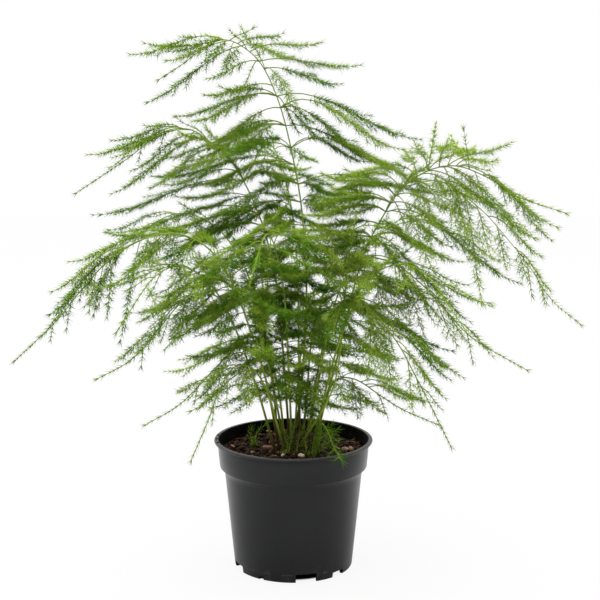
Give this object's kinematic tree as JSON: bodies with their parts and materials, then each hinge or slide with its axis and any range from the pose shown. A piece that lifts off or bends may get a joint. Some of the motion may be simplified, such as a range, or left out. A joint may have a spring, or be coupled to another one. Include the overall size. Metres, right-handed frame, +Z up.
{
  "type": "asparagus fern in a nursery pot",
  "caption": "Asparagus fern with wiry arching stems and layered feathery sprays of fine needles, growing in dark bark soil in a plain round nursery pot.",
  "frame": {"origin": "on the surface that the pot stands on, at the pot's own axis, which is also the middle of the whole plant's box", "axes": "+Z up along the pot's axis, -Y towards the front where a sprig hangs over the rim, +X to the right seen from the front"},
  "size_m": [0.4165, 0.324, 0.408],
  "materials": {
    "pot_plastic": "charcoal moulded plastic, matt with a soft sheen, faint scuffs",
    "soil": "dark damp peat with reddish bark chips and a few pale bits",
    "frond_mid": "living stems and needles, mid green, satin",
    "frond_dark": "living stems and needles, deep green, satin",
    "frond_young": "young stems and needles, bright yellow green, satin"
  },
  "bodies": {
    "root": {"pot": "pot_plastic", "soil": "soil", "frond_crown": "frond_mid", "frond_left_high": "frond_dark", "frond_left_long": "frond_mid", "frond_right_high": "frond_mid", "frond_right_low": "frond_mid", "frond_right_mid": "frond_mid", "frond_left_mid": "frond_dark", "frond_left_low": "frond_dark", "frond_left_front": "frond_dark", "frond_right_base": "frond_dark", "frond_young": "frond_young", "frond_rim_sprig": "frond_young", "frond_back_high": "frond_dark", "frond_back_left": "frond_dark", "frond_back_right": "frond_dark", "frond_back_low": "frond_dark", "frond_front_high": "frond_dark", "frond_front_right": "frond_dark", "frond_front_left": "frond_dark"}
  },
  "joints": []
}
